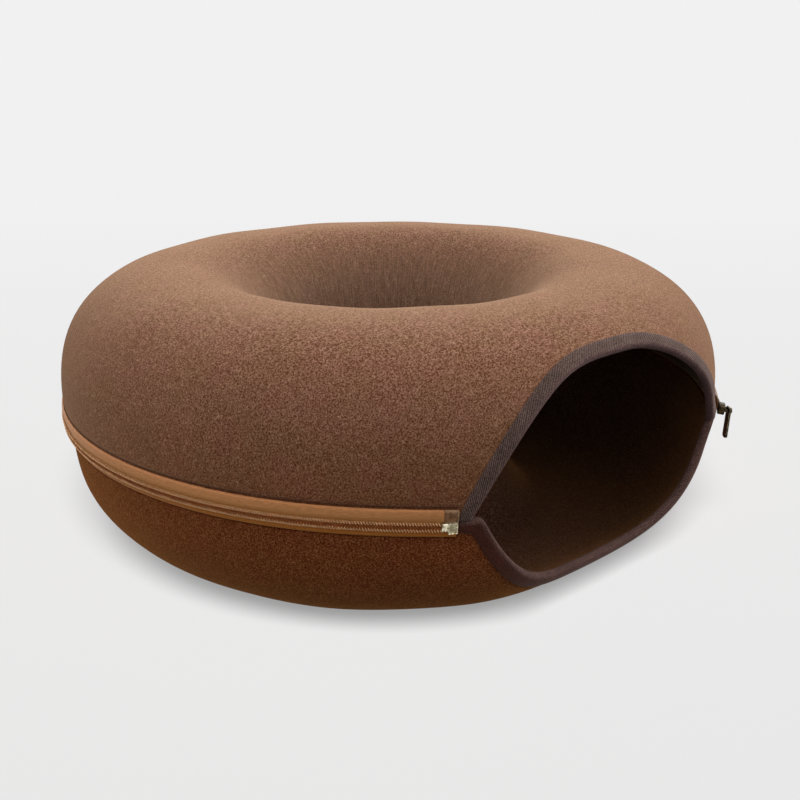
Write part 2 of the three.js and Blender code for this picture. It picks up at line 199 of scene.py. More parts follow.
# Colours and tints, some as stops of a ramp
FELT_HUES = [(0.38, (0.98, 1.01, 0.95)), (0.62, (1.03, 0.98, 1.04))]
# Painted shade: the tint that darkens the felt in the creases along the zip's tapes
PAINTED_CREASE_SHADE = (0.4, 0.3, 0.25)
TWILL_COLOURS = [(0.38, (0.028, 0.014, 0.013)), (0.5, (0.07, 0.043, 0.038)), (0.62, (0.17, 0.115, 0.106))]
TAPE_COLOURS = [(0, (0.4, 0.14, 0.012)), (0.2, (0.3, 0.09, 0.008)), (0.5, (0.35, 0.15, 0.035)),
                (0.75, (0.5, 0.22, 0.075)), (1, (0.44, 0.18, 0.065))]
FILM_COLOURS = [(0.36, (0.12, 0.055, 0.026)), (0.64, (0.23, 0.12, 0.062))]
# Painted highlight along the film's cut edges
FILM_EDGE_HIGHLIGHT = (0.5, 0.32, 0.18)
# Painted shade round the slider
SLIDER_SHADE_COLOUR = (0.3, 0.32, 0.4)

# Weaves: scales of their waves, and turns of their threads
TWILL_RIDGES = 0.27
TWILL_THREADS = 0.34
TAPE_RIBS = 0.42
THREAD_TWIST = 0.9
RIDGE_TURN = -45
THREAD_TURN = 50
TWIST_TURN = 35

# Shares in a mix, and widths of hairs in levels of noise
LUMP_SHARE = 0.35
NAP_SHARE = 0.75
HAIR_SHARE = 0.35
HAIR_RELIEF = 0.25
PALE_HAIR_WIDTH = 0.022
DARK_HAIR_WIDTH = 0.02
WEAVE_SHARES = (0.2, 0.1, 0.7)
# Share of the painted highlight on the film's edges
FILM_HIGHLIGHT_SHARE = 0.35

# Grain stretched along a piece, in lumps to a millimetre along it and across it
NAP_STREAKS = (0.36, 0.06)
TAPE_FADING = (0.25, 1.6)

# Grain of the materials, in lumps to a metre
FELT_CLUMPS = 1050
FELT_LUMPS = 600
FELT_DRIFT = 42
PALE_HAIRS = 300
PALE_HAIR_PATCHES = 210
DARK_HAIRS = 340
DARK_HAIR_PATCHES = 190
TWILL_FLUFF = 1300
TWILL_FADING = 110
THREAD_FLECKS = 900
FILM_CLOUD = 500
METAL_STAIN = 700
METAL_GRAIN = 2500

# The studio, with the floor in metres
CAMERA_AZIMUTH = -41.5
CAMERA_ELEVATION = 18.32
CAMERA_DISTANCE = 846.6
CAMERA_TARGET = (0, -RING_FORWARD, 100)
LENS = 47.43
LENS_SHIFT = (0.0148, -0.0264)
FLOOR_SIZE = 80
FLOOR_ALBEDO = 0.5
FLOOR_NEAR_GLOW = 0.33
FLOOR_FAR_GLOW = 0.4
FLOOR_NEAR = -0.4
FLOOR_FAR = 1.4
FLOOR_CALM = 1.5
FLOOR_LIGHT = 3.92
BACKGROUND = 0.88

# Lights on the bed: name, azimuth, elevation, energy, spread
BED_LIGHTS = [
    ("dome", 0, 90, 2.85, 180),
    ("right", 80, 28, 2.4, 70),
    ("left", -110, 25, 0.42, 60),
    ("back left", -170, 30, 0.2, 80),
]

# How finely the meshes are divided
CURVE_STEPS = 64
COLUMN_STEP = 0.75
UPPER_ROWS = ([40, 28, 22], [18, 12, 6])
LOWER_ROWS = ([22, 36, 36], [6, 16, 14])
EDGE_STEPS = 3
LIP_ROUND_STEPS = 6
STATION_STEP = 1.2
FOLD_STEPS = 6
STRIP_STEPS = 16
FILM_STEPS = 6
WIRE_SIDES = 5
BEVEL_STEPS = 3
CORNER_STEPS = 5
SLOPE_REACH = 1.5

# Worked out from the sizes above
FOLD = BINDING_GAP + BINDING
SEWN = TWILL_GAP + TWILL
ON_TAPE = TAPE_GAP + TAPE + GAP
CHAIN_LOW = SEATED + TAPE
CHAIN_TOP = CHAIN_LOW + COIL
DEGREES_PER_MM = 180 / math.pi / RIM_RADIUS
SLIDER_ANGLE = ZIP_END + (SLIDER_LENGTH / 2) * DEGREES_PER_MM
SLIDER_START = ZIP_END + (SLIDER_LENGTH + GAP) * DEGREES_PER_MM
ZIP_SPAN = 360 - 2 * ZIP_END
CHAIN_LENGTH = (360 - PIN_END - SLIDER_START) / DEGREES_PER_MM


# Section of the ring

def quarter(upright, level, power):
    """A quarter of a superellipse, from its upright end to its level end."""
    turn = np.linspace(0, math.pi / 2, CURVE_STEPS + 1)
    out = np.cos(turn).clip(0) ** (2 / power)
    up = np.sin(turn) ** (2 / power)
    return np.stack([level[0] + (upright[0] - level[0]) * out, upright[1] + (level[1] - upright[1]) * up], 1)


def drawn_in(angle):
    """How far the felt below the entrance is drawn in towards the ring's axis."""
    share = min(abs(angle) / LIP_SPREAD, 1)
    return LIP_DRAWN_IN * math.cos(share * math.pi / 2) ** 2


def flare(angle, height):
    """How far the slider's weight draws the wall out."""
    around = (angle - FLARE_ANGLE) / FLARE_SPREAD
    rise = height - ZIP_RIGHT_HEIGHT
    upward = rise / np.where(rise > 0, FLARE_ABOVE, FLARE_BELOW)
    return FLARE * np.exp(-around ** 2 - upward ** 2)


def smoothstep(value, low, high):
    share = np.clip((value - low) / (high - low), 0, 1)
    return share * share * (3 - 2 * share)


def lengths_along(points):
    """How far along a line each of its points is."""
    return np.concatenate([[0], np.cumsum(np.linalg.norm(np.diff(points, axis=0), axis=1))])


@functools.cache
def section(angle):
    """The outside of the tube at an angle: radii, heights and the lengths reached."""
    bowl_radius = BOWL_RADIUS - drawn_in(angle)
    inner = quarter((HOLE_RADIUS, SEAM_HEIGHT), (CROWN_RADIUS, HEIGHT), HOLE_POWER)
    shoulder = quarter((RIM_RADIUS, SHOULDER_HEIGHT), (CROWN_RADIUS, HEIGHT), SHOULDER_POWER)
    bowl = quarter((bowl_radius, BOWL_HEIGHT), (FOOT_OUTER, 0), BOWL_POWER)
    under = quarter((HOLE_RADIUS, SEAM_HEIGHT), (FOOT_INNER, 0), HOLE_POWER)
    waist_heights = np.linspace(SHOULDER_HEIGHT, BOWL_HEIGHT, CURVE_STEPS + 1)[1:-1]
    waist = np.stack([np.full_like(waist_heights, bowl_radius), waist_heights], 1)
    lower = np.concatenate([waist, bowl])
    bulge = smoothstep(lower[:, 1], 2 * BOWL_HEIGHT - SHOULDER_HEIGHT, SHOULDER_HEIGHT)
    lower[:, 0] += (RIM_RADIUS - bowl_radius) * bulge
    wall = np.concatenate([shoulder[::-1][1:], lower])
    wall[:, 0] += flare(angle, wall[:, 1])
    points = np.concatenate([inner, wall, under[::-1]])
    return points[:, 0], points[:, 1], lengths_along(points)


def total_length(angle):
    return section(angle)[2][-1]


def crown_length(angle):
    return section(angle)[2][CURVE_STEPS]


def foot_length(angle):
    """The length at the middle of the flat ring that the bed stands on."""
    lengths = section(angle)[2]
    return (lengths[-1 - CURVE_STEPS] + lengths[-2 - CURVE_STEPS]) / 2


def walk(angle, length):
    """Radius and height at lengths along a section."""
    radii, heights, lengths = section(angle)
    return np.interp(length, lengths, radii), np.interp(length, lengths, heights)


def length_at_height(angle, height):
    """The length at which the outer wall passes a height on its way down."""
    radii, heights, lengths = section(angle)
    wall = slice(CURVE_STEPS, -CURVE_STEPS - 1)
    return float(np.interp(-height, -heights[wall], lengths[wall]))


def on_ring(angle, length, off=0):
    """Points at an angle, at lengths along the section and heights off the felt."""
    radius, height = walk(angle, length)
    radius_after, height_after = walk(angle, length + SLOPE_REACH)
    radius_before, height_before = walk(angle, length - SLOPE_REACH)
    slope_r, slope_z = radius_after - radius_before, height_after - height_before
    size = np.hypot(slope_r, slope_z)
    r = radius - slope_z / size * off
    z = height + slope_r / size * off
    turn = math.radians(angle)
    return np.stack([r * math.sin(turn), -r * math.cos(turn) - RING_FORWARD, z], -1)


# Lines on the outer wall, as heights

def along_zip(angle):
    """Degrees round the back from the left end of the zip."""
    from_left = -ZIP_END - angle if angle < 0 else 360 - ZIP_END - angle
    return min(max(from_left, 0), ZIP_SPAN)


def zip_height(angle):
    from_left = along_zip(angle)
    rising = ZIP_LEFT_HEIGHT + (ZIP_RIGHT_HEIGHT - ZIP_LEFT_HEIGHT) * from_left / ZIP_SPAN
    return rising - ZIP_DIP * math.exp(-from_left / ZIP_DIP_REACH)


def zip_line(angle):
    return length_at_height(angle, zip_height(angle))


def parting_height(angle):
    from_left = along_zip(angle)
    left = PARTING_LEFT * math.exp(-from_left / PARTING_REACH)
    right = PARTING_RIGHT * math.exp((from_left - ZIP_SPAN) / PARTING_REACH)
    return zip_height(angle) + left + right


def arch_height(angle):
    is_left = angle < ARCH_MIDDLE
    side = ARCH_LEFT if is_left else ARCH_RIGHT
    power = ARCH_LEFT_POWER if is_left else ARCH_RIGHT_POWER
    corner = parting_height(side) + GAP / 2
    share = min((angle - ARCH_MIDDLE) / (side - ARCH_MIDDLE), 1)
    return corner + (ARCH_TOP - corner) * (1 - share ** power)


def upper_cut(angle):
    """The upper cut edge: the parting line, and the arch in the entrance."""
    in_arch = ARCH_LEFT < angle < ARCH_RIGHT
    return arch_height(angle) if in_arch else parting_height(angle) + GAP / 2


def sharp_lower_cut(angle):
    """The lower cut edge: the parting line, and the lip in the entrance."""
    parting = parting_height(angle) - GAP / 2 - FOLD
    if abs(angle) > LIP_CORNER:
        return parting
    is_left = angle < LIP_MIDDLE
    side = -LIP_CORNER if is_left else LIP_CORNER
    power = LIP_LEFT_POWER if is_left else LIP_RIGHT_POWER
    share = (angle - LIP_MIDDLE) / (side - LIP_MIDDLE)
    return LIP_HEIGHT + (parting - LIP_HEIGHT) * share ** power


def lower_cut(angle):
    """The lower cut edge, with the corners of its lip rounded."""
    near = np.linspace(angle - LIP_ROUND, angle + LIP_ROUND, LIP_ROUND_STEPS + 1)
    return sum(sharp_lower_cut(place) for place in near) / len(near)


# Meshes

def placed(name, data):
    """A new object, put in the scene."""
    obj = bpy.data.objects.new(name, data)
    bpy.context.scene.collection.objects.link(obj)
    return obj


def make_object(name, points, faces, uvs):
    """An object with points in millimetres, smooth faces and an UV for each corner of each face."""
    mesh = bpy.data.meshes.new(name)
    mesh.from_pydata((np.asarray(points) * MM).tolist(), [], faces)
    mesh.uv_layers.new(name="UVMap").uv.foreach_set("vector", np.asarray(uvs, dtype=np.float32).ravel())
    mesh.shade_smooth()
    return placed(name, mesh)


def signed_volume(points, faces):
    a, b, c, d = (points[faces[:, k]] for k in range(4))
    return (np.einsum("ij,ij->i", a, np.cross(b, c)) + np.einsum("ij,ij->i", a, np.cross(c, d))).sum()


def faces_away(points, loop, inward):
    """Whether a loop, in its order, faces away from a place inside the tube."""
    ring = points[loop]
    normal = np.cross(ring, np.roll(ring, -1, axis=0)).sum(0)
    return normal @ (inward - ring.mean(0)) < 0


def uv_grid(along, across):
    """UVs in millimetres, from lengths along a tube and across it, the latter for all loops or for each."""
    across = np.broadcast_to(across, (len(along), np.shape(across)[-1]))
    return np.stack(np.broadcast_arrays(np.asarray(along)[:, None], across), -1)


def tube(name, loops, uvs, closed):
    """Loops of points joined one after another, closed on itself or capped."""
    loops = np.asarray(loops, dtype=float)
    rows, columns = loops.shape[:2]
    points = loops.reshape(-1, 3)
    row, column = np.meshgrid(np.arange(rows if closed else rows - 1), np.arange(columns), indexing="ij")
    corner_row = np.stack([row, row + 1, row + 1, row], -1).reshape(-1, 4)
    corner_column = np.stack([column, column, column + 1, column + 1], -1).reshape(-1, 4)
    faces = (corner_row % rows) * columns + corner_column % columns
    uvs = uvs[corner_row, corner_column]
    if signed_volume(points, faces) < 0:
        faces, uvs = faces[:, ::-1], uvs[:, ::-1]
    faces, uvs = faces.tolist(), uvs.reshape(-1, 2)
    if not closed:
        for first, inward in ((0, loops[1].mean(0)), ((rows - 1) * columns, loops[-2].mean(0))):
            cap = list(range(first, first + columns))
            faces.append(cap if faces_away(points, cap, inward) else cap[::-1])
        uvs = np.concatenate([uvs, np.zeros((2 * columns, 2))])
    return make_object(name, points, faces, uvs)


def spread(stops, counts):
    """Values through all stops, with a count of even steps from each one to the next."""
    parts = [np.linspace(a, b, count, endpoint=False) for a, b, count in zip(stops, stops[1:], counts)]
    return np.concatenate([*parts, [stops[-1]]])


# Felt halves

def swell(angle, length):
    """A soft unevenness of the felt's surface: waves of 3, 7 and 13 to a turn of the ring."""
    turn = math.radians(angle)
    return (WIDE_SWELL * np.sin(3 * turn + 0.4) * np.sin(length / WIDE_WAVE + 0.8)
            + MIDDLE_SWELL * np.sin(7 * turn - 1.1) * np.sin(length / MIDDLE_WAVE + 2 * math.sin(2 * turn))
            + FINE_SWELL * np.sin(13 * turn + length / FINE_WAVE))


def crease(angle, length):
    """How deep a place is in the creases along the outer edges of the zip's tapes, from 0 to 1. It sinks the
    felt there, and also sets where shade is painted on it.
    """
    line = zip_line(angle) + ZIP_DROP
    above = line - TAPE_UPPER_WIDTH - CREASE_PLACE
    below = line + TAPE_LOWER_WIDTH + CREASE_PLACE
    nearest = np.minimum(np.abs(length - above), np.abs(length - below)) / CREASE_WIDTH
    return np.exp(-nearest ** 2) * smoothstep(abs(angle), ZIP_END - 1, ZIP_END)


def round_edge(angle, length, direction):
    """A cut edge with rounded corners, from the outside to the inside."""
    turn = np.linspace(0, math.pi / 2, EDGE_STEPS + 1)
    near = EDGE_ROUND * (1 - np.sin(turn))
    down = EDGE_ROUND * (1 - np.cos(turn))
    back = np.concatenate([near, near[::-1]])
    off = np.concatenate([-down, down[::-1] - FELT])
    return on_ring(angle, length - direction * back, off)


def felt_half(name, row_stops, rows, fades):
    """A felt half of loops over its outside, round its cut edges and back over its inside.

    The rows are counts of steps from stop to stop, outside and inside. Two attributes of its points tell
    the material where shade is painted: how deep they are in a crease, and which are inside.
    """
    angles = np.arange(-180, 180, COLUMN_STEP)
    loops, acrosses, creases, inside_shade_masks = [], [], [], []
    for angle in angles:
        stops = row_stops(angle)
        outer, inner = spread(stops, rows[0]), spread(stops, rows[1])[::-1]
        calm = np.prod([smoothstep(np.abs(outer - place), 0, reach) for place, reach in fades(angle)], axis=0)
        deep = crease(angle, outer)
        outside = on_ring(angle, outer, swell(angle, outer) * calm - CREASE * deep)[1:-1]
        inside = on_ring(angle, inner, -FELT)[1:-1]
        last_edge, first_edge = round_edge(angle, outer[-1], 1), round_edge(angle, outer[0], -1)[::-1]
        loops.append(np.concatenate([outside, last_edge, inside, first_edge]))
        edge = len(last_edge)
        last_across, first_across = np.full(edge, outer[-1]), np.full(edge, outer[0])
        acrosses.append(np.concatenate([outer[1:-1], last_across, inner[1:-1], first_across, outer[1:2]]))
        # Masks of where shade is painted: in the creases, and on the inside faces
        creases.append(np.concatenate([deep[1:-1], np.zeros(2 * edge + len(inside))]))
        inside_shade_masks.append(np.repeat([0.0, 1.0, 0.0], [len(outside) + edge, len(inside), edge]))
    along = np.append(angles, 180) / DEGREES_PER_MM
    obj = tube(name, loops, uv_grid(along, [*acrosses, acrosses[0]]), True)
    for attribute, values in (("crease", creases), ("inside", inside_shade_masks)):
        obj.data.attributes.new(attribute, "FLOAT", "POINT").data.foreach_set("value", np.ravel(values))
    return obj


def upper_stops(angle):
    cut = length_at_height(angle, upper_cut(angle))
    return [SEAM_GAP / 2, crown_length(angle), cut - EDGE_REACH, cut]


def lower_stops(angle):
    cut = length_at_height(angle, lower_cut(angle))
    return [cut, cut + EDGE_REACH, foot_length(angle), total_length(angle) - SEAM_GAP / 2]


def upper_fades(angle):
    """Lengths where the swell dies out, each with its reach."""
    seam, _, _, cut = upper_stops(angle)
    above_tapes = min(cut, zip_line(angle)) - CALM_ABOVE
    return [(seam, CALM_REACH), (above_tapes, CALM_REACH), (cut, CALM_EDGE_REACH)]


def lower_fades(angle):
    cut, _, foot, seam = lower_stops(angle)
    return [(cut, CALM_EDGE_REACH), (cut + CALM_BELOW, CALM_REACH),
            (foot, CALM_FOOT_REACH), (seam, CALM_REACH)]


# Bindings

def station(angle, cut):
    length = length_at_height(angle, cut(angle))
    return np.array([angle, length, walk(angle, length)[0]])


def flat_step(start, end):
    return np.array([math.radians(end[0] - start[0]) * (start[2] + end[2]) / 2, end[1] - start[1]])


def mitre(before, after, turn):
    """The way from an edge into the felt, for a mitre between the steps before and after a place."""
    one, other = before / np.linalg.norm(before), after / np.linalg.norm(after)
    sideways = np.array([-one[1], one[0]]) * turn
    middle = sideways + np.array([-other[1], other[0]]) * turn
    middle /= np.linalg.norm(middle)
    return middle / (middle @ sideways)


def mitres(angles, cut, turn, level_ends):
    """The ways into the felt at the stations of an edge."""
    places = [station(angle, cut) for angle in angles]
    steps = [flat_step(a, b) for a, b in zip(places, places[1:])]
    ways = [mitre(steps[max(i - 1, 0)], steps[min(i, len(steps) - 1)], turn) for i in range(len(places))]
    if level_ends:
        for i in (0, -1):
            ways[i] = np.array([ways[i] @ ways[i] / ways[i][0], 0])
    return np.array(ways)


def fold_outside(width):
    """The outer half of the folded tape: how far its points are into the felt and off it."""
    turn = np.linspace(0, math.pi / 2, FOLD_STEPS + 1)
    leg = [(width, TWILL_GAP / 2), (width, SEWN * LEG_EDGE)] + [(width * share, SEWN) for share in LEG_SHARES]
    arc = [(-SEWN + FOLD_ROUND * (1 - math.sin(t)), SEWN - FOLD_ROUND * (1 - math.cos(t))) for t in turn]
    return leg + arc


def folded_tape(angle, length, radius, way, width):
    """A section of the folded tape on an edge: outer leg, round fold, inner leg, and back inside."""
    outside = fold_outside(width)
    mirror = [(inward, -FELT - off) for inward, off in reversed(outside)]
    lining = [(width, -FELT - TWILL_GAP), (-TWILL_GAP, -FELT - TWILL_GAP), (-TWILL_GAP, TWILL_GAP)]
    profile = outside + mirror[:-1] + lining
    return [on_ring(angle + math.degrees(way[0] * inward / radius), length + way[1] * inward, off)
            for inward, off in profile]


def binding(name, angles, cut, turn, level_ends, pinches):
    """Tape folded over a cut edge. turn is 1 where the felt lies below the edge and -1 where above it.

    The tape is narrower by its pinches at its left and right ends.
    """
    ways = mitres(angles, cut, turn, level_ends)
    fine = fine_angles(angles, cut)
    places = np.array([station(angle, cut) for angle in fine])
    steps = [np.linalg.norm(flat_step(a, b)) for a, b in zip(places, places[1:])]
    reached = np.concatenate([[0], np.cumsum(steps)])
    loops = []
    for (angle, length, radius), run in zip(places, reached):
        way = np.array([np.interp(angle, angles, ways[:, k]) for k in (0, 1)])
        nearness = [math.exp(-distance / PINCH_REACH) for distance in (run, reached[-1] - run)]
        width = TWILL_WIDTH - pinches[0] * nearness[0] - pinches[1] * nearness[1]
        loops.append(folded_tape(angle, length, radius, way, width))
    profile = np.array(loops[len(loops) // 2])
    closed = np.concatenate([profile, profile[:1]])
    return tube(name, loops, uv_grid(reached, lengths_along(closed)), False)


def fine_angles(angles, cut):
    """The angles, with more between them so that neighbours are close along the edge."""
    fine = []
    for a, b in zip(angles, angles[1:]):
        size = np.linalg.norm(flat_step(station(a, cut), station(b, cut)))
        fine += list(np.linspace(a, b, max(int(math.ceil(size / STATION_STEP)), 1), endpoint=False))
    return [*fine, angles[-1]]


# Zip

def behind(left, distance):
    """The angle at a distance in millimetres round the back from an angle on the left."""
    turned = left - distance * DEGREES_PER_MM
    return turned if turned > -180 else turned + 360


def round_the_back(left, right):
    """Angles from one on the left round the back to one on the right, a column apart."""
    length = (360 + left - right) / DEGREES_PER_MM
    steps = math.ceil(length * DEGREES_PER_MM / COLUMN_STEP)
    return [behind(left, length * i / steps) for i in range(steps + 1)]


def tape_surface(up):
    """How far off the felt the outside of the tapes is, at distances above the zip line."""
    is_upper = up > 0
    width = np.where(is_upper, TAPE_UPPER_WIDTH, TAPE_LOWER_WIDTH)
    crown = np.where(is_upper, UPPER_CROWN, LOWER_CROWN)
    share = np.clip((np.abs(up) - COIL_WIDTH) / (width - COIL_WIDTH), 0, 1)
    rounded = smoothstep(width - np.abs(up), 0, EDGE_ROUND)
    return SEATED + TAPE * (1 + rounded) / 2 + crown * np.sin(share * math.pi) ** CROWN_POWER


def strip(name, angles, below, above):
    """A strip of tape or film along the zip, between two distances above its line."""
    shares = (1 - np.cos(np.linspace(0, math.pi, STRIP_STEPS + 1))) / 2
    ups = below + (above - below) * shares
    loops = []
    for angle in angles:
        line = zip_line(angle) + ZIP_DROP
        outside = on_ring(angle, line - ups, tape_surface(ups))
        inside = on_ring(angle, line - ups[::-1], SEATED)
        loops.append(np.concatenate([outside, inside]))
    step = (angles[0] - angles[1]) % 360 / DEGREES_PER_MM
    along = np.arange(len(angles)) * step
    return tube(name, loops, uv_grid(along, [*ups, *ups[::-1], ups[0]]), False)


def on_chain(distance, up, off):
    """The place at a distance along the chain and heights above its middle and off the felt."""
    angle = behind(-PIN_END, distance)
    return on_ring(angle, zip_line(angle) + ZIP_DROP - CHAIN_RISE - up, off)


def carried(tangents):
    """A direction square to each tangent in turn, turned as little as possible from one to the next."""
    side = np.cross(tangents[0], (0, 0, 1))
    sides = []
    for tangent in tangents:
        side = side - (side @ tangent) * tangent
        side /= np.linalg.norm(side)
        sides.append(side)
    return np.array(sides)


def wire(name, points, radius):
    """A round wire along points, with UVs along and round it."""
    points = np.array(points)
    tangents = np.gradient(points, axis=0)
    tangents /= np.linalg.norm(tangents, axis=1, keepdims=True)
    side = carried(tangents)
    turn = np.arange(WIRE_SIDES)[:, None] / WIRE_SIDES * 2 * math.pi
    around = side[:, None] * np.cos(turn) + np.cross(tangents, side)[:, None] * np.sin(turn)
    uvs = uv_grid(lengths_along(points), np.arange(WIRE_SIDES + 1) * radius)
    return tube(name, points[:, None] + radius * around, uvs, False)


def coil(name, side, phase):
    """A coil of the zip, wound along its edge of the chain."""
    reach = (COIL_WIDTH - COIL_WIRE) / 2
    points = []
    for i in range(int(CHAIN_LENGTH / COIL_PITCH * COIL_POINTS)):
        wind = 2 * math.pi * (i / COIL_POINTS + phase)
        off = (CHAIN_LOW + CHAIN_TOP) / 2 + (COIL / 2 - COIL_WIRE) * math.sin(wind)
        points.append(on_chain(i / COIL_POINTS * COIL_PITCH, side * reach * (1 - math.cos(wind)), off))
    return wire(name, points, COIL_WIRE)


def stitches(name, side):
    """The stitches that sew a coil to its tape: each slants over the coil, and the thread runs on below."""
    middle = (STITCH_INNER + STITCH_OUTER) / 2
    places = [(STITCH_SLANT, STITCH_OUTER, CHAIN_LOW), (STITCH_SLANT, STITCH_OUTER, CHAIN_TOP),
              (STITCH_SLANT / 2, middle, CHAIN_TOP + THREAD), (0, STITCH_INNER, CHAIN_TOP),
              (0, STITCH_INNER, CHAIN_LOW)]
    points = []
    for i in range(int(CHAIN_LENGTH / STITCH_PITCH)):
        points += [on_chain((i + side * share) * STITCH_PITCH, side * up, off) for share, up, off in places]
    return wire(name, points, THREAD)


# Metal

def wall_lean(angle):
    line = zip_line(angle)
    up = on_ring(angle, line - SLOPE_REACH) - on_ring(angle, line + SLOPE_REACH)
    turn = math.radians(angle)
    return math.atan2(up[0] * math.sin(turn) - up[1] * math.cos(turn), up[2])


def on_wall(angle, up=0):
    """The place above the zip line at an angle: x along the zip, -y off the felt, z up the wall."""
    place = Vector(on_ring(angle, zip_line(angle) - up))
    turn = Matrix.Rotation(math.radians(angle), 4, "Z") @ Matrix.Rotation(wall_lean(angle), 4, "X")
    return Matrix.Translation(place) @ turn


def plate(bm, outline, levels, place, bevel, rim=0, recess=0):
    """Adds an outline drawn on the felt, between two heights off it, with rounded edges.

    With a rim, the rest of its outer face is sunk by the recess and takes the second material.
    """
    others = set(bm.verts)
    low, high = ([bm.verts.new((x, -off, z)) for x, z in outline] for off in levels)
    faces = [bm.faces.new(low), bm.faces.new(high[::-1])]
    for i in range(len(outline)):
        faces.append(bm.faces.new([low[i], low[i - 1], high[i - 1], high[i]]))
    bmesh.ops.recalc_face_normals(bm, faces=faces)
    if rim:
        faces[1].material_index = 1
        faces += bmesh.ops.inset_individual(bm, faces=[faces[1]], thickness=rim, depth=-recess)["faces"]
        for face in faces[2:]:
            face.material_index = 0
    edges = list({edge for face in faces for edge in face.edges})
    bmesh.ops.bevel(bm, geom=edges, offset=bevel, segments=BEVEL_STEPS, profile=0.5, affect="EDGES",
                    material=0)
    bmesh.ops.transform(bm, matrix=place, verts=[vert for vert in bm.verts if vert not in others])


def rectangle(left, right, bottom, top):
    return [(left, bottom), (right, bottom), (right, top), (left, top)]


def tongue(side, tip, top, corner):
    """A tab's outline, rounded at its tip."""
    turns = np.linspace(0, math.pi / 2, CORNER_STEPS + 1)
    right = [(side - corner + corner * math.sin(t), tip + corner - corner * math.cos(t)) for t in turns]
    return [(-x, z) for x, z in reversed(right)] + right + [(side, top), (-side, top)]


def finished(name, bm):
    bmesh.ops.scale(bm, vec=(MM, MM, MM), verts=bm.verts)
    bmesh.ops.recalc_face_normals(bm, faces=bm.faces)
    mesh = bpy.data.meshes.new(name)
    bm.to_mesh(mesh)
    bm.free()
    mesh.shade_smooth()
    mesh.set_sharp_from_angle(angle=math.radians(SHARP))
    return placed(name, mesh)


def retaining_box():
    """The box at the zip's left end, with a sunk panel, and the pin that stands in it."""
    place = on_wall(-ZIP_END, BOX_RISE)
    bm = bmesh.new()
    pin_length = math.radians(PIN_END - ZIP_END) * RIM_RADIUS - BOX_LENGTH - 2 * GAP
    half, pin_half = BOX_WIDTH / 2, PIN_WIDTH / 2
    top = CHAIN_LOW + BOX
    box = rectangle(-BOX_LENGTH, 0, -half, half)
    plate(bm, box, (CHAIN_LOW, top), place, FINE_BEVEL, BOX_RIM, PANEL_RECESS)
    pin = rectangle(-BOX_LENGTH - pin_length, PIN_LAP - BOX_LENGTH, PIN_RISE - pin_half, PIN_RISE + pin_half)
    plate(bm, pin, (CHAIN_LOW, top - PIN_SUNK), place, PIN_BEVEL)
    return finished("retaining_box", bm)


def slider():
    """The slider's body, wide at its shoulders, and the bail over it on two posts."""
    place = on_wall(SLIDER_ANGLE)
    bm = bmesh.new()
    end, top = SLIDER_LENGTH / 2, ON_TAPE + SLIDER
    bar = top + PULL_OFF + PULL / 2 + 2 * GAP
    half = [(-end, SLIDER_NOSE / 2), (NOSE_LENGTH - end, SLIDER_WIDTH / 2), (end, SLIDER_TAIL / 2)]
    body = half + [(x, -z) for x, z in reversed(half)]
    plate(bm, body, (ON_TAPE, top), place, SLIDER_BEVEL)
    wide = BAIL_WIDTH / 2
    for middle in (-POST_PLACE, POST_PLACE):
        post = rectangle(middle - POST / 2, middle + POST / 2, -wide, wide)
        plate(bm, post, (top - GAP, bar + GAP), place, FINE_BEVEL)
    bridge = rectangle(-POST_PLACE - POST / 2, POST_PLACE + POST / 2, -wide, wide)
    plate(bm, bridge, (bar, bar + BAIL), place, BAR_BEVEL)
    return finished("slider", bm)


def pull():
    """The pull, with a frame round its eye and a long sunk panel below that."""
    off = ON_TAPE + SLIDER + PULL_OFF
    turn = math.radians(PULL_LEAN) - wall_lean(SLIDER_ANGLE)
    lean = Matrix.Rotation(turn, 4, "X") @ Matrix.Rotation(math.radians(PULL_TURN), 4, "Z")
    place = on_wall(SLIDER_ANGLE) @ Matrix.Translation((-POST_PLACE, -off, 0)) @ lean
    high = BAIL_WIDTH / 2 + PULL_PLAY
    low = high - EYE_HEIGHT
    crown, tip = high + PULL_RIM, high + PULL_RIM - PULL_LENGTH
    tab, eye = PULL_WIDTH / 2, EYE_WIDTH / 2
    levels = (-PULL / 2, PULL / 2)
    bm = bmesh.new()
    for left, right in ((-tab, -eye), (eye, tab)):
        side = rectangle(left, right, low - FRAME_LAP, crown - FRAME_LAP)
        plate(bm, side, levels, place, BAR_BEVEL)
    plate(bm, rectangle(-tab, tab, high, crown), levels, place, BAR_BEVEL)
    plate(bm, tongue(tab, tip, low, PULL_CORNER), levels, place, FINE_BEVEL, TAB_RIM, PANEL_RECESS)
    return finished("pull", bm)


# Materials

def new_material(name):
    material = bpy.data.materials.new(name)
    material.use_nodes = True
    tree = material.node_tree
    return material, tree, tree.nodes["Principled BSDF"]


def node(tree, kind, inputs=None, **settings):
    """A shader node, with its settings, and with a value or a link for each named input."""
    made = tree.nodes.new(kind)
    for key, value in settings.items():
        setattr(made, key, value)
    feed(tree, made, inputs or {})
    return made


def feed(tree, made, inputs):
    """Sets each named input of a node to a value, or links it to a socket."""
    for key, value in inputs.items():
        if isinstance(value, bpy.types.NodeSocket):
            tree.links.new(value, made.inputs[key])
        else:
            made.inputs[key].default_value = value


def calculate(tree, operation, *values):
    return node(tree, "ShaderNodeMath", dict(enumerate(values)), operation=operation).outputs[0]


def noise_value(tree, place, scale, detail, roughness=0.5):
    """Noise round a half. The scale is in lumps for each unit of the place."""
    inputs = {"Vector": place, "Scale": scale, "Detail": detail, "Roughness": roughness}
    return node(tree, "ShaderNodeTexNoise", inputs).outputs[0]


def band(tree, value, low, high):
    """0 to 1 as a value goes smoothly from one level to another."""
    inputs = {"Value": value, "From Min": low, "From Max": high}
    return node(tree, "ShaderNodeMapRange", inputs, interpolation_type="SMOOTHSTEP").outputs[0]


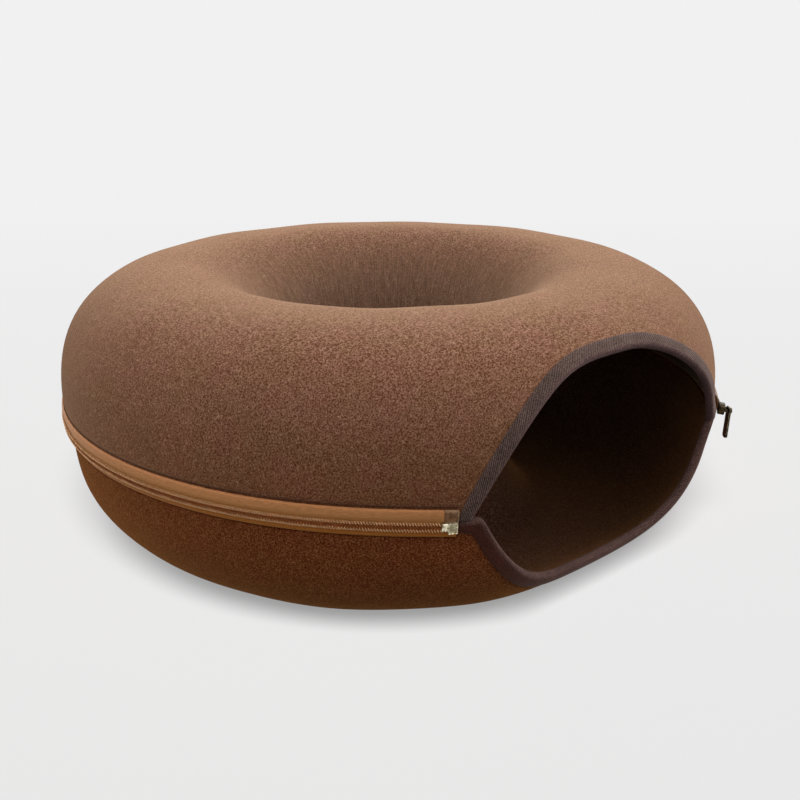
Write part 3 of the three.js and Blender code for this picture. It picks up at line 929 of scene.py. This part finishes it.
def rescaled(tree, value, span, new_span):
    """A value carried from one span to another, and held at its ends."""
    inputs = {"Value": value, "From Min": span[0], "From Max": span[1],
              "To Min": new_span[0], "To Max": new_span[1]}
    return node(tree, "ShaderNodeMapRange", inputs).outputs[0]


def mix(tree, factor, first, second, blend="MIX"):
    inputs = {0: factor, 6: first, 7: second}
    return node(tree, "ShaderNodeMix", inputs, data_type="RGBA", blend_type=blend).outputs[2]


def ramp(tree, factor, stops):
    made = node(tree, "ShaderNodeValToRGB", {"Fac": factor})
    elements = made.color_ramp.elements
    while len(elements) < len(stops):
        elements.new(0.5)
    for element, (position, colour) in zip(elements, stops):
        element.position = position
        element.color = (*colour, 1)
    return made.outputs["Color"]


def bump(tree, shader, height, distance, strength=1.0):
    inputs = {"Height": height, "Distance": distance * MM, "Strength": strength}
    feed(tree, shader, {"Normal": node(tree, "ShaderNodeBump", inputs).outputs[0]})


def object_place(tree):
    return node(tree, "ShaderNodeTexCoord").outputs["Object"]


def uv_of(tree):
    return node(tree, "ShaderNodeTexCoord").outputs["UV"]


def uv_place(tree, scale_u=1.0, scale_v=1.0, turn=0.0):
    """The UV, in millimetres, turned and then scaled."""
    rotation = (0, 0, math.radians(turn))
    turned = node(tree, "ShaderNodeMapping", {"Vector": uv_of(tree), "Rotation": rotation}).outputs[0]
    scale = (scale_u, scale_v, 1)
    return node(tree, "ShaderNodeMapping", {"Vector": turned, "Scale": scale}).outputs[0]


def uv_parts(tree):
    """The UV's two parts, along a piece and across it, in millimetres."""
    return node(tree, "ShaderNodeSeparateXYZ", {0: uv_of(tree)}).outputs[:2]


def waves(tree, place, scale, distortion=0.0, detail_scale=1.0, direction="X"):
    """Even waves from 0 to 1 along one axis of a place."""
    inputs = {"Vector": place, "Scale": scale, "Distortion": distortion, "Detail Scale": detail_scale}
    return node(tree, "ShaderNodeTexWave", inputs, bands_direction=direction).outputs[1]


def hairs(tree, place, scale, width, patches):
    """Short thin hairs: the lines where a noise passes its middle, broken up by another one."""
    level = noise_value(tree, place, scale, 1)
    distance = calculate(tree, "ABSOLUTE", calculate(tree, "SUBTRACT", level, 0.5))
    line = band(tree, distance, width, 0)
    broken = band(tree, noise_value(tree, place, patches, 1), 0.48, 0.56)
    return calculate(tree, "MULTIPLY", line, broken)


def tinted(tree, colour, value, stops):
    """A colour multiplied by a ramp over a value."""
    return mix(tree, 1, colour, ramp(tree, value, stops), "MULTIPLY")


def grey(level):
    return level, level, level


def faded(tree, colour, value):
    """A colour darker and lighter in soft patches."""
    return tinted(tree, colour, value, [(0.35, grey(0.84)), (0.65, grey(1.14))])


def felt_material(name, shades, hair, inside, sheen, sheen_tint, lengthwise):
    """Felt of wool dyed in near shades: clumps, drifts of hue, pale and dark hairs, and a nap.

    The shades are dark, middle and light. The felt is tinted along the section by the lengthwise stops.
    Inside the tunnel it is darkened and greyed by one colour, and in the creases along the zip's tapes
    it is darkened too: both are painted shade.
    """
    material, tree, shader = new_material(name)
    place = object_place(tree)
    dark, middle, light = shades
    length = uv_parts(tree)[1]
    clumps = noise_value(tree, place, FELT_CLUMPS, 3, 0.7)
    lumps = noise_value(tree, place, FELT_LUMPS, 2)
    clotted = calculate(tree, "MULTIPLY", clumps, 1 - LUMP_SHARE)
    clotted = calculate(tree, "MULTIPLY_ADD", lumps, LUMP_SHARE, clotted)
    on_top = ramp(tree, clotted, [(0.43, dark), (0.5, middle), (0.57, light)])
    on_wall = ramp(tree, clumps, [(0.36, dark), (0.5, middle), (0.64, light)])
    colour = mix(tree, band(tree, length, CROWN_GRAIN_END, CROWN_GRAIN_START), on_wall, on_top)
    colour = tinted(tree, colour, noise_value(tree, place, FELT_DRIFT, 2), FELT_HUES)
    streaks = noise_value(tree, uv_place(tree, *NAP_STREAKS), 1, 3)
    napped = mix(tree, NAP_SHARE, colour, (*middle, 1))
    streaked = tinted(tree, napped, streaks, [(0.35, grey(0.77)), (0.65, grey(1.24))])
    colour = mix(tree, band(tree, length, HOLE_NAP_END, HOLE_NAP_START), colour, streaked)
    colour = tinted(tree, colour, calculate(tree, "DIVIDE", length, SECTION_SPAN), lengthwise)
    pale = hairs(tree, place, PALE_HAIRS, PALE_HAIR_WIDTH, PALE_HAIR_PATCHES)
    aside = node(tree, "ShaderNodeMapping", {"Vector": place, "Location": (3, 7, 5)}).outputs[0]
    deep = hairs(tree, aside, DARK_HAIRS, DARK_HAIR_WIDTH, DARK_HAIR_PATCHES)
    colour = mix(tree, calculate(tree, "MULTIPLY", deep, HAIR_SHARE), colour, (*dark, 1))
    colour = mix(tree, calculate(tree, "MULTIPLY", pale, HAIR_SHARE), colour, (*hair, 1))
    # Painted shade: the felt is darker in the creases along the zip's tapes
    crease_shade_mask = node(tree, "ShaderNodeAttribute", attribute_name="crease").outputs["Fac"]
    colour = tinted(tree, colour, crease_shade_mask, [(0.2, grey(1)), (1, PAINTED_CREASE_SHADE)])
    # Painted shade: the inside faces, in the tunnel, are darkened and greyed by the inside colour
    inside_shade_mask = node(tree, "ShaderNodeAttribute", attribute_name="inside").outputs["Fac"]
    colour = mix(tree, inside_shade_mask, colour, mix(tree, 1, colour, (*inside, 1), "MULTIPLY"))
    feed(tree, shader, {"Base Color": colour, "Roughness": 0.95, "Specular IOR Level": 0.0,
                        "Sheen Weight": sheen, "Sheen Roughness": 0.45, "Sheen Tint": (*sheen_tint, 1)})
    relief = calculate(tree, "MULTIPLY_ADD", pale, HAIR_RELIEF, clumps)
    bump(tree, shader, relief, 0.9, 0.4)
    return material


def twill_material(name, outer, inner):
    """Cotton twill: fine slanting ridges of short threads in a plum brown.

    It is tinted by one colour on its outer leg, and by another one round the fold and inside: painted
    light and shade, a lighter tint standing for a highlight on the fold and a darker one for shade on a
    leg that faces down.
    """
    material, tree, shader = new_material(name)
    ridges = waves(tree, uv_place(tree, turn=RIDGE_TURN), TWILL_RIDGES, 2.2, 3)
    threads = waves(tree, uv_place(tree, turn=THREAD_TURN), TWILL_THREADS, 2)
    fluff = noise_value(tree, object_place(tree), TWILL_FLUFF, 3, 0.7)
    weave = 0
    for grain, share in zip((ridges, threads, fluff), WEAVE_SHARES):
        weave = calculate(tree, "MULTIPLY_ADD", grain, share, weave)
    colour = ramp(tree, weave, TWILL_COLOURS)
    colour = faded(tree, colour, noise_value(tree, object_place(tree), TWILL_FADING, 3))
    across = calculate(tree, "DIVIDE", uv_parts(tree)[1], TWILL_SPAN)
    # Painted light and shade: the tints lighten the fold as a highlight, or darken a leg that faces down
    colour = tinted(tree, colour, across, [(0.24, outer), (0.38, inner)])
    feed(tree, shader, {"Base Color": colour, "Roughness": 0.85, "Specular IOR Level": 0.1,
                        "Sheen Weight": 0.1, "Sheen Roughness": 0.4, "Sheen Tint": (1, 0.7, 0.6, 1)})
    bump(tree, shader, weave, 0.25)
    return material


def painted_slider_shade(tree, colour):
    """A colour darkened round the slider: a painted shade."""
    slider_place = on_ring(ZIP_END, zip_line(ZIP_END)) * MM
    away = node(tree, "ShaderNodeVectorMath", {0: object_place(tree), 1: tuple(slider_place)},
                operation="DISTANCE").outputs["Value"]
    dark = mix(tree, 1, colour, (*SLIDER_SHADE_COLOUR, 1), "MULTIPLY")
    return mix(tree, band(tree, away, 2 * SLIDER_SHADE_REACH * MM, SLIDER_SHADE_REACH * MM), colour, dark)


def satin_material(name):
    """Woven polyester tape with fine ribs along it, lighter towards its outer edges."""
    material, tree, shader = new_material(name)
    ribs = waves(tree, uv_place(tree, 0.02, 1), TAPE_RIBS, 0.3, direction="Y")
    share = rescaled(tree, uv_parts(tree)[1], (-TAPE_LOWER_WIDTH, TAPE_UPPER_WIDTH), (0, 1))
    colour = ramp(tree, share, TAPE_COLOURS)
    colour = faded(tree, colour, noise_value(tree, uv_place(tree, *TAPE_FADING), 1, 3))
    # The tape is darkened round the slider, a painted shade
    feed(tree, shader, {"Base Color": painted_slider_shade(tree, colour), "Roughness": 0.5, "Specular IOR Level": 0.15})
    bump(tree, shader, ribs, 0.08)
    return material


def thread_material(name, dark, light, roughness, gloss):
    """A twisted or drawn thread, darker in places."""
    material, tree, shader = new_material(name)
    flecks = noise_value(tree, object_place(tree), THREAD_FLECKS, 2)
    # The thread is darkened round the slider, a painted shade
    colour = painted_slider_shade(tree, ramp(tree, flecks, [(0.36, dark), (0.62, light)]))
    feed(tree, shader, {"Base Color": colour, "Roughness": roughness, "Specular IOR Level": gloss})
    bump(tree, shader, waves(tree, uv_place(tree, turn=TWIST_TURN), THREAD_TWIST), 0.05)
    return material


def film_material(name):
    """Clear film over the end of the tape, whose brown shows through it, with a painted highlight along its
    cut edges.
    """
    material, tree, shader = new_material(name)
    along, across = uv_parts(tree)
    cloud = noise_value(tree, object_place(tree), FILM_CLOUD, 3)
    colour = ramp(tree, cloud, FILM_COLOURS)
    # Painted highlight along the film's end and top edges
    end_highlight = band(tree, along, *FILM_END_HIGHLIGHT)
    top_highlight = band(tree, calculate(tree, "SUBTRACT", TAPE_UPPER_WIDTH, across), *FILM_TOP_HIGHLIGHT)
    edge = calculate(tree, "MAXIMUM", end_highlight, top_highlight)
    colour = mix(tree, calculate(tree, "MULTIPLY", edge, FILM_HIGHLIGHT_SHARE), colour, (*FILM_EDGE_HIGHLIGHT, 1))
    feed(tree, shader, {"Base Color": colour, "Roughness": 0.5, "Specular IOR Level": 0.08,
                        "Coat Weight": 0.05, "Coat Roughness": 0.3})
    bump(tree, shader, cloud, 0.2)
    return material


def metal_material(name, worn, plated, stained, roughness):
    """Plated metal: polished by wear on its edges, dull and stained in its hollows."""
    material, tree, shader = new_material(name)
    place = object_place(tree)
    point = node(tree, "ShaderNodeNewGeometry").outputs["Pointiness"]
    stain = noise_value(tree, place, METAL_STAIN, 4, 0.65)
    base = ramp(tree, stain, [(0.42, stained), (0.6, plated)])
    wear = calculate(tree, "MULTIPLY", band(tree, point, 0.5, 0.6), band(tree, stain, 0.4, 0.54))
    colour = mix(tree, wear, base, (*worn, 1))
    rough = rescaled(tree, stain, (0.3, 0.7), (roughness + 0.15, roughness))
    feed(tree, shader, {"Base Color": colour, "Metallic": 1.0, "Roughness": rough})
    bump(tree, shader, noise_value(tree, place, METAL_GRAIN, 2), 0.05)
    return material


# Scene

def look(obj, replaced, slot, *materials):
    """Gives a piece its materials and hides the solid that it replaces. The slot is not used."""
    for material in materials:
        obj.data.materials.append(material)
    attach(obj, "root")
    if replaced:
        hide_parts(replaced)
    return obj


def facing(azimuth, elevation):
    """The way towards a place in the sky, azimuth 0 being on the entrance's side."""
    turn, rise = math.radians(azimuth), math.radians(elevation)
    return Vector((math.sin(turn) * math.cos(rise), -math.cos(turn) * math.cos(rise), math.sin(rise)))


def camera():
    """The camera that took the photograph, aimed at the middle of the ring."""
    back = facing(CAMERA_AZIMUTH, CAMERA_ELEVATION)
    data = bpy.data.cameras.new("camera")
    data.lens = LENS
    data.shift_x, data.shift_y = LENS_SHIFT
    obj = placed("camera", data)
    obj.location = (Vector(CAMERA_TARGET) + back * CAMERA_DISTANCE) * MM
    obj.rotation_euler = back.to_track_quat("Z", "Y").to_euler()
    bpy.context.scene.camera = obj


def floor():
    """A plain pale floor, lit by itself so that its shadow is soft.

    It glows a little more behind the bed, and far off all round so that it meets the background unseen.
    """
    mesh = bpy.data.meshes.new("floor")
    half = FLOOR_SIZE / 2
    corners = [(-half, -half, 0), (half, -half, 0), (half, half, 0), (-half, half, 0)]
    mesh.from_pydata(corners, [], [(0, 1, 2, 3)])
    obj = placed("floor", mesh)
    material, tree, shader = new_material("floor")
    place = object_place(tree)
    turn = (0, 0, -math.radians(CAMERA_AZIMUTH))
    turned = node(tree, "ShaderNodeMapping", {"Vector": place, "Rotation": turn})
    behind_bed = node(tree, "ShaderNodeSeparateXYZ", {0: turned.outputs[0]}).outputs[1]
    distance = node(tree, "ShaderNodeVectorMath", {0: place}, operation="LENGTH").outputs["Value"]
    away = calculate(tree, "MAXIMUM", behind_bed, calculate(tree, "SUBTRACT", distance, FLOOR_CALM))
    glow = rescaled(tree, away, (FLOOR_NEAR, FLOOR_FAR), (FLOOR_NEAR_GLOW, FLOOR_FAR_GLOW))
    feed(tree, shader, {"Base Color": (*grey(FLOOR_ALBEDO), 1), "Roughness": 1, "Specular IOR Level": 0,
                        "Emission Color": glow, "Emission Strength": 1})
    mesh.materials.append(material)
    obj.visible_diffuse = False
    return obj


def sun(name, azimuth, elevation, energy, spread, receivers):
    """A soft light from far away, on one group of objects."""
    data = bpy.data.lights.new(name, "SUN")
    data.energy = energy
    data.angle = math.radians(spread)
    obj = placed(name, data)
    obj.rotation_euler = facing(azimuth, elevation).to_track_quat("Z", "Y").to_euler()
    obj.light_linking.receiver_collection = receivers


def group(name, members):
    """A collection that one group of lights falls on."""
    made = bpy.data.collections.new(name)
    for member in members:
        made.objects.link(member)
    return made


def studio(pieces, ground):
    """A pale background, a dome of light over the bed, and a light of the floor's own."""
    world = bpy.data.worlds.new("studio")
    bpy.context.scene.world = world
    world.use_nodes = True
    world.node_tree.nodes["Background"].inputs["Color"].default_value = (*grey(BACKGROUND), 1)
    world.cycles_visibility.diffuse = False
    on_bed, on_floor = group("lit bed", pieces), group("lit floor", [ground])
    for light in BED_LIGHTS:
        sun(*light, on_bed)
    sun("floor light", CAMERA_AZIMUTH, 50, FLOOR_LIGHT, 34, on_floor)
    bpy.context.scene.view_settings.view_transform = "Standard"


# The part

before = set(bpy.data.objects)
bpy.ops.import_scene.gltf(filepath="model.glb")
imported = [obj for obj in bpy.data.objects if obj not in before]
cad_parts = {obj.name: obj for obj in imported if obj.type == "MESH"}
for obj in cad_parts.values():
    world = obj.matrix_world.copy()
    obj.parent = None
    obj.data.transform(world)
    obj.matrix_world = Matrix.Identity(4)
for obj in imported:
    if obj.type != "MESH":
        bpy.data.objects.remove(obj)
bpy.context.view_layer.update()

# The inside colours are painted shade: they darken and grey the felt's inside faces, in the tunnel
felt_upper = felt_material(
    "felt_upper", shades=((0.08, 0.023, 0.009), (0.17, 0.075, 0.042), (0.305, 0.162, 0.11)),
    hair=(0.52, 0.34, 0.2), inside=(0.25, 0.4, 0.75), sheen=0.42, sheen_tint=(1, 0.7, 0.46),
    lengthwise=[(0.1, (1, 1.25, 1.4)), (0.21, grey(1)), (0.39, grey(1)), (0.47, (0.95, 0.82, 0.66))])
felt_lower = felt_material(
    "felt_lower", shades=((0.045, 0.004, 0.001), (0.135, 0.032, 0.008), (0.29, 0.115, 0.05)),
    hair=(0.46, 0.2, 0.08), inside=(0.6, 0.95, 1.8), sheen=0.35, sheen_tint=(1, 0.45, 0.15),
    lengthwise=[(0.4, grey(1)), (1, grey(0.9))])
# The lighter tint round the fold and inside is a painted highlight
twill = twill_material("twill", (1, 0.98, 0.9), (1.28, 1.1, 1.15))
# The lip's binding is the same twill, darkened as painted shade, most on its outer leg, which faces down
twill_in_painted_shade = twill_material("twill_in_painted_shade", (0.56, 0.22, 0.13), (0.95, 0.8, 0.75))
satin = satin_material("satin")
nylon = thread_material("nylon", (0.22, 0.055, 0.01), (0.46, 0.14, 0.035), 0.4, 0.12)
thread = thread_material("thread", (0.55, 0.27, 0.11), (0.9, 0.55, 0.28), 0.6, 0.2)
clear = film_material("film")
steel = metal_material("steel", (0.9, 0.83, 0.64), (0.62, 0.56, 0.4), (0.2, 0.15, 0.08), 0.3)
dull_steel = metal_material("dull_steel", (0.5, 0.45, 0.3), (0.36, 0.32, 0.2), (0.18, 0.15, 0.09), 0.4)
bronze = metal_material("bronze", (0.2, 0.16, 0.1), (0.07, 0.055, 0.033), (0.02, 0.014, 0.009), 0.4)
tarnish = metal_material("tarnish", (0.07, 0.025, 0.018), (0.04, 0.012, 0.01), (0.016, 0.005, 0.004), 0.5)
dark_bronze = metal_material(
    "dark_bronze", (0.09, 0.065, 0.03), (0.024, 0.015, 0.006), (0.01, 0.006, 0.003), 0.5)

upper = look(felt_half("felt_upper", upper_stops, UPPER_ROWS, upper_fades),
             "shell_upper", "upper_felt", felt_upper)
lower = look(felt_half("felt_lower", lower_stops, LOWER_ROWS, lower_fades),
             "shell_lower", "lower_felt", felt_lower)
arch = look(binding("binding_arch", ARCH_STATIONS, arch_height, -1, True, ARCH_PINCHES),
            "binding_upper", "binding", twill)
lip = look(binding("binding_lip", LIP_STATIONS, lower_cut, 1, False, LIP_PINCHES),
           "binding_lower", "binding", twill_in_painted_shade)
tape_upper = look(strip("tape_upper", round_the_back(-FILM_END, ZIP_END), GAP / 2, TAPE_UPPER_WIDTH),
                  "zip_tape_upper", "zip_tape", satin)
tape_lower = look(strip("tape_lower", round_the_back(-ZIP_END, ZIP_END), -TAPE_LOWER_WIDTH, -GAP / 2),
                  "zip_tape_lower", "zip_tape", satin)
film_start = FILM_OVERHANG * DEGREES_PER_MM - ZIP_END
film_end = GAP * DEGREES_PER_MM - FILM_END
film_angles = np.linspace(film_start, film_end, FILM_STEPS + 1)
look(strip("film", film_angles, GAP / 2, TAPE_UPPER_WIDTH), "zip_film", "zip_film", clear)
look(coil("coil_upper", 1, 0), "zip_coil_upper", "zip_coil", nylon)
look(coil("coil_lower", -1, 0.5), "zip_coil_lower", "zip_coil", nylon)
look(stitches("stitches_upper", 1), None, "zip_coil", thread)
look(stitches("stitches_lower", -1), None, "zip_coil", thread)
look(retaining_box(), "zip_box", "steel", steel, dull_steel)
look(slider(), "zip_slider", "bronze", dark_bronze)
look(pull(), "zip_pull", "bronze", bronze, tarnish)

camera()
pieces = [obj for obj in bpy.context.scene.objects if obj.type == "MESH"]
studio(pieces, floor())
